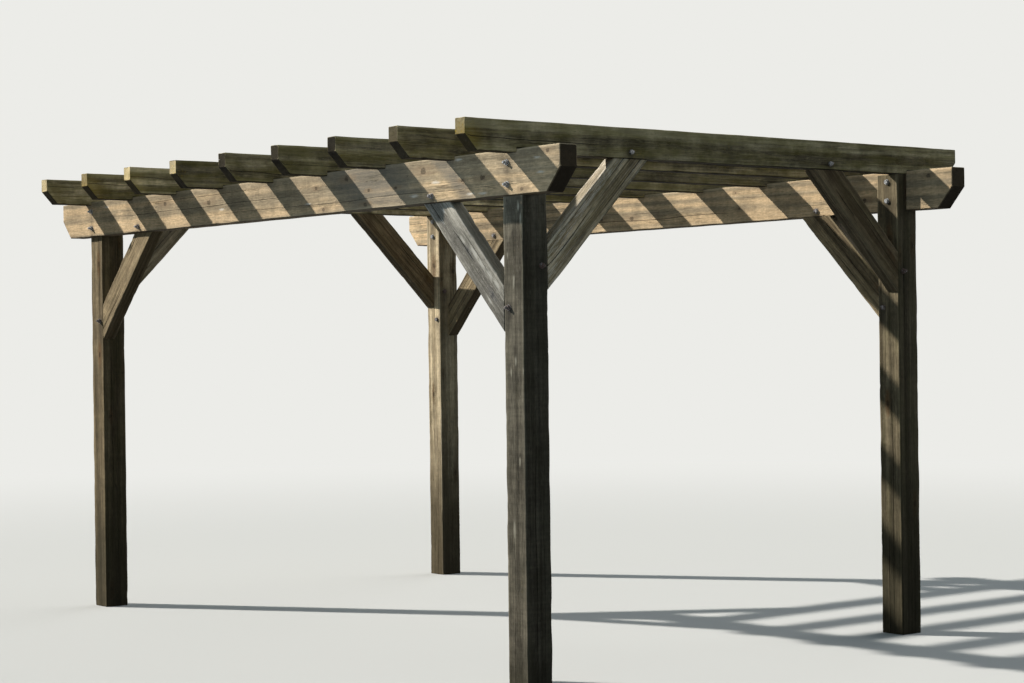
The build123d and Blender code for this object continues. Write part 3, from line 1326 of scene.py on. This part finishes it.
def random_splits(source: int | np.random.Generator, counts: tuple[int, ...], width: float,
                  depth: float) -> tuple[Split, ...]:
    """Draws drying checks for a timber.

    Args:
        source: Seed or source of the random numbers.
        counts: How many splits each face has, in the order of Side.
        width: Widest opening, in metres.
        depth: Deepest groove, in metres.

    Returns:
        The splits. Their places across a face are spread evenly and then moved a little.
    """
    draw = np.random.default_rng(source)
    found = []
    for side, count in zip(Side, counts):
        for number in range(count):
            across = 0.14 + 0.72 * ((number + draw.uniform(0.25, 0.75)) / count)
            middle, reach = draw.uniform(-0.05, 1.05), draw.uniform(0.10, 0.34)
            size = draw.uniform(0.4, 1.0)
            found.append(Split(side, across, middle - reach, middle + reach, width * size, depth * size))
    return tuple(found)


BEAM_TIMBER = TimberFinish(
    "weathered_beam", light=(204, 177, 140), dark=(157, 141, 116), streak=(116, 103, 84), worn=(214, 192, 158),
    streak_amount=0.2, streak_low=0.54, ring_amount=0.1, algae_amount=0.1, lichen_amount=0.05, knot_share=0.08,
    halo=(142, 122, 98), knot=(52, 44, 38), scuff=(226, 218, 204), relief=0.0009, stain_amount=0.18,
    check_amount=0.45, painted_shade_grey=(112, 108, 100),
)
RAFTER_TIMBER = TimberFinish(
    "weathered_rafter", light=(194, 178, 144), dark=(120, 109, 85), streak=(60, 54, 40), worn=(205, 190, 144),
    algae=(132, 122, 58), algae_amount=0.4, lichen_amount=0.25, knot_share=0.35, streak_amount=0.5,
    blotch_amount=0.42, underside_shade_amount=0.92, halo=(84, 74, 58), fleck_amount=0.3, fray_amount=0.3,
    stain_amount=0.5, silver_and_shade_amount=0.72, silver=(124, 120, 110),
)
POST_CHARCOAL = TimberFinish(
    "charcoal_post", light=(100, 94, 81), dark=(73, 68, 58), streak=(48, 45, 39), worn=(126, 120, 105),
    silver=(112, 110, 102), algae=(76, 74, 52), algae_amount=0.25, lichen_amount=0.03, knot_share=0.06,
    ring_amount=0.2, fleck_amount=0.5, halo=(66, 63, 57), shade_amount=0.5, scuff=(154, 149, 134),
    fray_amount=0.35, streak_amount=0.42, streak_low=0.52, blotch_amount=0.24, bar_amount=0.13,
)
# The brown and pale posts' high, strong damp is painted shade near the ground as well as damp.
POST_BROWN = TimberFinish(
    "brown_post", light=(146, 129, 100), dark=(104, 91, 70), streak=(62, 53, 40), worn=(162, 147, 118),
    algae_amount=0.2, lichen_amount=0.03, knot_share=0.3, shade_amount=0.5, streak_amount=0.5,
    damp_and_shade_height=1.3, damp_and_shade_amount=0.7,
)
POST_PALE = replace(
    POST_BROWN, name="pale_post", light=(226, 206, 170), dark=(176, 158, 128), streak=(112, 98, 76),
    worn=(236, 220, 190), damp_and_shade_height=1.5, damp_and_shade_amount=0.85, damp_and_shade=(58, 50, 34),
)
POST_SHADED = replace(POST_BROWN, name="shaded_post", light=(128, 116, 92), dark=(80, 72, 56))
BRACE_PALE = TimberFinish(
    "pale_brace", light=(144, 139, 128), dark=(100, 96, 88), streak=(68, 66, 60), worn=(184, 178, 166),
    bar_amount=0.07, algae_amount=0.08, lichen_amount=0.02, knot_share=0.1, fleck_amount=0.6, shade_amount=0.1,
    halo=(92, 90, 88), knot=(52, 52, 54), scuff=(180, 176, 166), fray_amount=0.3,
)
# Its reddish shaded colour is painted shade with a painted warm reflection.
BRACE_BROWN = TimberFinish(
    "brown_brace", light=(160, 141, 110), dark=(108, 94, 72), streak=(60, 51, 38), worn=(176, 160, 130),
    algae_amount=0.2, lichen_amount=0.03, knot_share=0.3, shade_amount=0.4, shaded=(62, 40, 18),
    underside_shade_amount=0.5,
)
BRACE_GREY_BROWN = replace(BRACE_BROWN, light=(156, 145, 124), dark=(112, 104, 90), shade_amount=0.0)
BRACE_GREY = TimberFinish(
    "grey_brace", light=(224, 201, 166), dark=(168, 147, 116), streak=(78, 68, 54), worn=(248, 240, 224),
    algae=(124, 118, 66), algae_amount=0.25, lichen_amount=0.05, knot_share=0.2, streak_amount=0.8,
    fray_amount=0.9, band_contrast=1.6,
)


@dataclass(frozen=True)
class Posts:
    """The four posts, each with the outer half of its head cut away for the beam.

    Scuffs that show on the front right post's front face are given as distance across, height and size.
    """

    scuffs: Rows = (
        (0.087, 1.524, 0.009), (0.143, 1.472, 0.008), (0.048, 1.467, 0.007), (0.118, 2.249, 0.009),
        (0.132, 2.19, 0.008), (0.076, 1.895, 0.012), (0.063, 0.73, 0.016), (0.030, 2.02, 0.006),
        (0.105, 1.05, 0.008),
    )

    def timber(self, corner: str, seed: int) -> Timber:
        """The post at one corner: it stands on its foot, and its lower side is the outer face.

        Args:
            corner: Name of the corner.
            seed: Start of its random numbers.

        Returns:
            The timber.
        """
        low, high = POST[corner]
        sign = signs(corner)[1]
        side, outer = (high.x, high.y) if sign > 0 else (low.x, low.y)
        seat = POST_OUT - BEAM_INNER
        return Timber(
            node=f"post_{corner}", slot="post_timber", origin=(side, outer, 0.0), along=(0, 0, 1),
            rise=(0, -sign, 0), width=high.x - low.x, depth=high.y - low.y, length=high.z,
            low=((0, 0), (BEAM_UNDER - STEP, 0), (BEAM_UNDER, seat), (high.z, seat)),
            arris=0.007, chips=9, seed=seed, splits=random_splits(seed, (2, 2, 2, 2), 0.004, 0.012),
            # Painted light at the head of the front right post.
            painted_light_ends=(0.0, 1.1) if corner == "front_right" else (0.0, 0.0), painted_light_reach=0.34,
        )

    def dress(self) -> None:
        """Builds all four posts."""
        finishes = {"front_right": POST_CHARCOAL, "front_left": POST_BROWN, "back_left": POST_PALE,
                    "back_right": POST_SHADED}
        for seed, (corner, finish) in enumerate(finishes.items(), 31):
            timber = self.timber(corner, seed)
            scuffs = self.scuffs if corner == "front_right" else ()
            marks = tuple(Mark(Side.LOWER, *place) for place in scuffs)
            timber.dress(finish.material(timber.starts, (), marks))


@dataclass(frozen=True)
class Beams:
    """The two long beams, clipped on the lower half of both ends.

    Knots and scuffs that show on the front beam's face are given as X, Z and size.
    """

    end_tone: float = 0.12
    knots: Rows = (
        (-1.17, 2.45, 0.015), (-0.66, 2.43, 0.016), (0.53, 2.32, 0.012), (0.46, 2.44, 0.009),
        (0.75, 2.47, 0.016), (0.95, 2.393, 0.009), (0.92, 2.323, 0.013), (1.19, 2.389, 0.010),
        (1.43, 2.46, 0.019), (1.91, 2.40, 0.015), (1.75, 2.398, 0.009), (2.21, 2.324, 0.011),
        (2.40, 2.49, 0.010),
    )
    scuffs: Rows = (
        (1.723, 2.497, 0.010), (1.811, 2.326, 0.010), (1.913, 2.323, 0.011), (1.53, 2.40, 0.012),
        (2.326, 2.463, 0.009), (2.35, 2.393, 0.010), (1.35, 2.34, 0.012), (0.38, 2.36, 0.010),
        (-0.52, 2.38, 0.010), (-1.9, 2.47, 0.010),
    )

    def timber(self, name: str, seed: int) -> Timber:
        """One beam, from its left end to its right end.

        Args:
            name: Its node.
            seed: Start of its random numbers.

        Returns:
            The timber.
        """
        low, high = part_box(name)
        reach, rise = BEAM_CLIP
        length = high.x - low.x
        front = name == "beam_front"
        return Timber(
            node=name, slot="beam_timber", origin=(low.x, low.y, low.z), along=(1, 0, 0), rise=(0, 0, 1),
            width=high.y - low.y, depth=high.z - low.z, length=length,
            low=((0, rise), (reach, 0), (length - reach, 0), (length, rise)),
            end_tones=(self.end_tone, self.end_tone), arris=0.004, chips=14, seed=seed, pace=0.022,
            # The back beam is lighter near its start: painted light.
            splits=random_splits(seed, (1, 3, 2, 3), 0.003, 0.012), painted_light_ends=(0.0 if front else 0.45, 0.0),
            # Painted shade patches on the front beam.
            painted_shade_patches=((0.98 - low.x, 0.36, 0.75), (1.68 - low.x, 0.07, 0.7)) if front else (),
        )

    def dress(self) -> None:
        """Builds both beams."""
        knots, scuffs = (
            tuple(Mark(Side.LEFT, BEAM_HIGH.z - z, x - BEAM_LOW.x, size) for x, z, size in places)
            for places in (self.knots, self.scuffs)
        )
        front = self.timber("beam_front", 51)
        front.dress(BEAM_TIMBER.material(front.starts, knots, scuffs))
        back = self.timber("beam_back", 52)
        finish = replace(BEAM_TIMBER, name="weathered_back_beam", knot_share=0.4, painted_shade_grey=None)
        back.dress(finish.material(back.starts))


@dataclass(frozen=True)
class Rafter:
    """A rafter, notched over both beams and clipped at both ends. It has a tone of its own."""

    number: int
    tone: float
    front_end: float
    lichen: float
    washed: float
    bow: float = 0.004

    def timber(self, seed: int) -> Timber:
        """The rafter, from its front end to its back end.

        Args:
            seed: Start of its random numbers.

        Returns:
            The timber.
        """
        low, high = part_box(f"rafter_{self.number}")
        reach, rise = RAFTER_CLIP
        length = high.y - low.y
        middle = length / 2
        notch = BEAM_HIGH.z - RAFTER_UNDER
        levels = [(0, rise), (reach, 0)]
        front, back = (middle - BEAM_OUTER, middle - BEAM_INNER), (middle + BEAM_INNER, middle + BEAM_OUTER)
        for near, far in (front, back):
            levels += [(near - STEP, 0), (near, notch), (far, notch), (far + STEP, 0)]
        levels += [(length - reach, 0), (length, rise)]
        draw = np.random.default_rng(seed)
        return Timber(
            node=f"rafter_{self.number}", slot="rafter_timber", origin=(high.x, low.y, low.z),
            along=(0, 1, 0), rise=(0, 0, 1), width=high.x - low.x, depth=high.z - low.z, length=length,
            low=tuple(levels),
            arris=0.004, chips=10, seed=seed, pace=0.024,
            splits=random_splits(draw, (0, 3, 2, 1 if self.number == 9 else 2), 0.0028, 0.010),
            bow=draw.uniform(-self.bow, self.bow), lichen_start=self.lichen,
            end_tones=(self.front_end, 0.7), washed=self.washed,
        )

    def dress(self) -> None:
        """Builds the rafter."""
        timber = self.timber(70 + self.number)
        light, dark = (tuple(round(v * self.tone) for v in display)
                       for display in (RAFTER_TIMBER.light, RAFTER_TIMBER.dark))
        finish = replace(RAFTER_TIMBER, name=f"weathered_rafter_{self.number}", light=light, dark=dark)
        timber.dress(finish.material(timber.starts))


# Number, tone, tone of the front end, lichen on it, and how far the sides are washed pale. The very dark
# front ends of rafters 5 to 7 are painted shade.
RAFTERS = (
    Rafter(1, 1.16, 1.28, 0.35, 0.2),
    Rafter(2, 1.03, 0.71, 1.0, 0.4),
    Rafter(3, 1.32, 1.16, 0.8, 0.7),
    Rafter(4, 0.66, 3.3, 0.1, 0.0),
    Rafter(5, 0.94, 0.09, 0.1, 0.2),
    Rafter(6, 0.87, 0.12, 0.1, 0.2),
    Rafter(7, 0.70, 0.08, 0.2, 0.1),
    Rafter(8, 0.91, 0.29, 0.2, 0.1),
    Rafter(9, 0.94, 0.62, 0.9, 0.6),
)


@dataclass(frozen=True)
class Braces:
    """The knee braces: one under the beam and one under the end rafter at each post.

    Knots and scuffs that show on the front right beam brace's front face are given as distance across, along
    and size. The scuffs are pale rubbed wood and partly painted flecks of sunlight.
    """

    knots: Rows = ((0.081, 0.482, 0.011), (0.068, 0.144, 0.012))
    # Pale rubbed marks, partly painted flecks of sunlight.
    scuffs: Rows = (
        (0.089, 0.569, 0.016), (0.108, 0.42, 0.022), (0.111, 0.32, 0.020), (0.120, 0.21, 0.018),
        (0.126, 0.10, 0.018), (0.034, 0.163, 0.012), (0.048, 0.754, 0.010), (0.092, 0.83, 0.008),
    )

    def timber(self, kind: str, corner: str, seed: int) -> Timber:
        """One brace, from its foot on the post to its head under the beam or rafter.

        Args:
            kind: What it props, beam or rafter.
            corner: Name of the corner.
            seed: Start of its random numbers.

        Returns:
            The timber.
        """
        sign_x, sign_y = signs(corner)
        if kind == "beam":
            out, top, sign = np.array((-sign_x, 0, 0)), BEAM_UNDER, sign_y
            foot, outer, inner = (sign_x * SIDE_IN, 0, top - BRACE_LEG), POST_OUT, POST_OUT - BRACE_THICK
        else:
            out, top, sign = np.array((0, -sign_y, 0)), RAFTER_UNDER, sign_x
            foot, outer, inner = (0, sign_y * POST_IN, top - BRACE_LEG), SIDE_OUT, SIDE_OUT - BRACE_THICK
        up = np.array((0, 0, 1))
        along, rise = (out + up) / math.sqrt(2), (up - out) / math.sqrt(2)
        side = np.cross(rise, along)
        start = np.array(foot)
        across = int(np.argmax(np.abs(side)))
        start[across] = (min if side[across] > 0 else max)(sign * outer, sign * inner)
        # Painted light at the head of the front right beam brace.
        pale = 0.6 if (kind, corner) == ("beam", "front_right") else 0.0
        return Timber(
            node=f"{kind}_brace_{corner}", slot="brace_timber", origin=tuple(start), along=tuple(along),
            rise=tuple(rise), width=BRACE_THICK, depth=BRACE_DEPTH, length=BRACE_LEG * math.sqrt(2),
            lean=1.0, arris=0.005, chips=5, seed=seed, splits=random_splits(seed, (1, 3, 1, 3), 0.005, 0.012),
            pace=0.015, painted_light_ends=(0.0, pale), painted_light_reach=0.24,
        )

    def dress(self) -> None:
        """Builds all eight braces."""
        finishes = {("beam", "front_right"): BRACE_PALE, ("rafter", "front_right"): BRACE_GREY,
                    ("rafter", "front_left"): BRACE_GREY_BROWN}
        for seed, (corner, kind) in enumerate(((c, k) for c in POST for k in ("beam", "rafter")), 91):
            timber = self.timber(kind, corner, seed)
            finish = replace(finishes.get((kind, corner), BRACE_BROWN), name=f"{kind}_brace_finish_{corner}")
            near = (kind, corner) == ("beam", "front_right")
            marks = (tuple(Mark(Side.RIGHT, *place) for place in places if near)
                     for places in (self.knots, self.scuffs))
            timber.dress(finish.material(timber.starts, *marks))


@dataclass(frozen=True)
class Stage:
    """Pale floor, soft studio light and the camera. Angles are in degrees."""

    eye: Place = (10.0427, -7.608, 1.6181)
    azimuth: float = 51.9113
    pitch: float = -0.015
    roll: float = -0.7349
    focal_pixels: float = 2151.95
    image_width: float = 1024.0
    sensor: float = 36.0
    key_way: Place = (1.24, 0.9, -1.0)
    key_strength: float = 5.5
    key_softness: float = 1.2
    key_colour: Place = (1.0, 0.965, 0.90)
    back_way: Place = (0.1, -1.0, -0.5)
    back_strength: float = 1.2
    back_softness: float = 60.0
    box_place: Place = (2.6, -5.6, 1.9)
    box_target: Place = (1.7, -1.4, 2.4)
    box_size: float = 1.6
    box_spread: float = 64.0
    box_power: float = 5.3
    box_colour: Place = (0.62, 0.82, 1.0)
    fill: float = 0.185
    fill_colour: tuple[float, ...] = (0.73, 0.96, 1.08, 1.0)
    pale: Display = (236, 236, 232)
    floor_tone: Display = (199, 199, 197)
    floor_bounce: Display = (98, 104, 108)
    floor_radii: tuple[float, ...] = (4.0, 9.0, 20.0, 60.0)
    floor_fade: tuple[float, float] = (5.0, 16.0)
    floor_sides: int = 96
    view_reach: float = 200.0

    def camera(self) -> None:
        """Puts the camera where the photograph was taken, with its azimuth, pitch, roll and focal length."""
        turn, tip, lean = (math.radians(v) for v in (self.azimuth, self.pitch, self.roll))
        ahead = np.array((-math.sin(turn) * math.cos(tip), math.cos(turn) * math.cos(tip), math.sin(tip)))
        level = np.array((math.cos(turn), math.sin(turn), 0.0))
        above = np.cross(level, ahead)
        right = math.cos(lean) * level + math.sin(lean) * above
        up = math.cos(lean) * above - math.sin(lean) * level
        data = bpy.data.cameras.new("camera")
        data.sensor_width = self.sensor
        data.lens = self.focal_pixels * self.sensor / self.image_width
        data.clip_end = self.view_reach
        camera = bpy.data.objects.new("camera", data)
        axes = np.stack([right, up, -ahead], 1)
        camera.matrix_world = Matrix([[*axes[i], self.eye[i]] for i in range(3)] + [[0, 0, 0, 1]])
        bpy.context.scene.collection.objects.link(camera)
        bpy.context.scene.camera = camera

    @staticmethod
    def lamp(name: str, kind: str, way: Vector, **settings: object) -> bpy.types.Object:
        """Adds a lamp.

        Args:
            name: Name of the lamp.
            kind: Blender's name for its kind.
            way: Direction that it shines in.
            settings: Properties of its light.

        Returns:
            The new object.
        """
        data = bpy.data.lights.new(name, kind)
        for label, value in settings.items():
            setattr(data, label, value)
        lamp = bpy.data.objects.new(name, data)
        lamp.rotation_mode = "QUATERNION"
        lamp.rotation_quaternion = way.to_track_quat("-Z", "Y")
        bpy.context.scene.collection.objects.link(lamp)
        return lamp

    def lights(self) -> None:
        """Adds the lamps and the fill.

        The key comes from the front left. A cool soft box, which the camera doesn't see, stands in front of
        the right end, a wide weak lamp reaches the back, and the fill is even from all round.
        """
        way = Vector(self.box_target) - Vector(self.box_place)
        box = self.lamp("soft_box", "AREA", way, energy=self.box_power, color=self.box_colour,
                        size=self.box_size, spread=math.radians(self.box_spread))
        box.location = self.box_place
        box.visible_camera = False
        self.lamp("key", "SUN", Vector(self.key_way), energy=self.key_strength, color=self.key_colour,
                  angle=math.radians(self.key_softness))
        self.lamp("back_fill", "SUN", Vector(self.back_way), energy=self.back_strength, color=(1.0, 1.0, 1.0),
                  angle=math.radians(self.back_softness))
        world = bpy.data.worlds.new("studio")
        n = Nodes.fresh(world)
        light = n.add("ShaderNodeBackground", {"Color": self.fill_colour, "Strength": self.fill})
        pale = n.add("ShaderNodeBackground", {"Color": linear(self.pale), "Strength": 1.0})
        mixed = n.add("ShaderNodeMixShader", {0: self.seen(n), 1: light.outputs[0], 2: pale.outputs[0]})
        n.add("ShaderNodeOutputWorld", {"Surface": mixed.outputs[0]})
        bpy.context.scene.world = world

    @staticmethod
    def seen(n: Nodes) -> Socket:
        """1 for rays that show the background: from the camera, from gloss and through glass.

        Args:
            n: Writer of the tree.

        Returns:
            The mask.
        """
        rays = n.add("ShaderNodeLightPath").outputs
        gloss = n.math("MAXIMUM", rays["Is Glossy Ray"], rays["Is Transmission Ray"])
        return n.math("MAXIMUM", rays["Is Camera Ray"], gloss)

    def floor(self) -> None:
        """Round pale floor that fades into the background far from the object."""
        angle = np.arange(self.floor_sides) * 2 * math.pi / self.floor_sides
        radii = np.array(self.floor_radii)[:, None]
        rings = np.stack([radii * np.cos(angle), radii * np.sin(angle), 0 * radii * angle], -1).reshape(-1, 3)
        index = np.arange(len(rings)).reshape(len(radii), -1)
        middle = np.stack([index[0], np.roll(index[0], -1), np.full(len(angle), len(rings))], -1)
        shell = Shell(np.vstack([rings, (0, 0, 0)]), Shell.ladder(index)[:, (0, 3, 2, 1)], middle)
        material = bpy.data.materials.new("pale_floor")
        n = Nodes.fresh(material)
        seen = self.seen(n)
        far = n.ramp(n.length(n.place()), *self.floor_fade)
        tone = n.mix(seen, linear(self.floor_bounce), linear(self.floor_tone))
        lit = n.add("ShaderNodeBsdfDiffuse", {"Color": tone})
        pale = n.add("ShaderNodeEmission", {"Color": linear(self.pale), "Strength": 1.0})
        mixed = n.add("ShaderNodeMixShader", {0: n.times(far, seen), 1: lit.outputs[0], 2: pale.outputs[0]})
        n.add("ShaderNodeOutputMaterial", {"Surface": mixed.outputs[0]})
        shell.piece("floor", material)

    def build(self) -> None:
        """Makes the camera, the lights and the floor."""
        self.camera()
        self.lights()
        self.floor()
        bpy.context.scene.view_settings.view_transform = "Standard"


def main() -> None:
    """Dresses the pergola."""
    logging.basicConfig(level=logging.INFO, format="%(message)s")
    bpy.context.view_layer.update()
    Stage().build()
    Posts().dress()
    Beams().dress()
    for rafter in RAFTERS:
        rafter.dress()
    Braces().dress()
    steel = SteelFinish().material()
    for corner in POST:
        Bolts(corner).dress(steel)


if __name__ == "__main__":
    main()
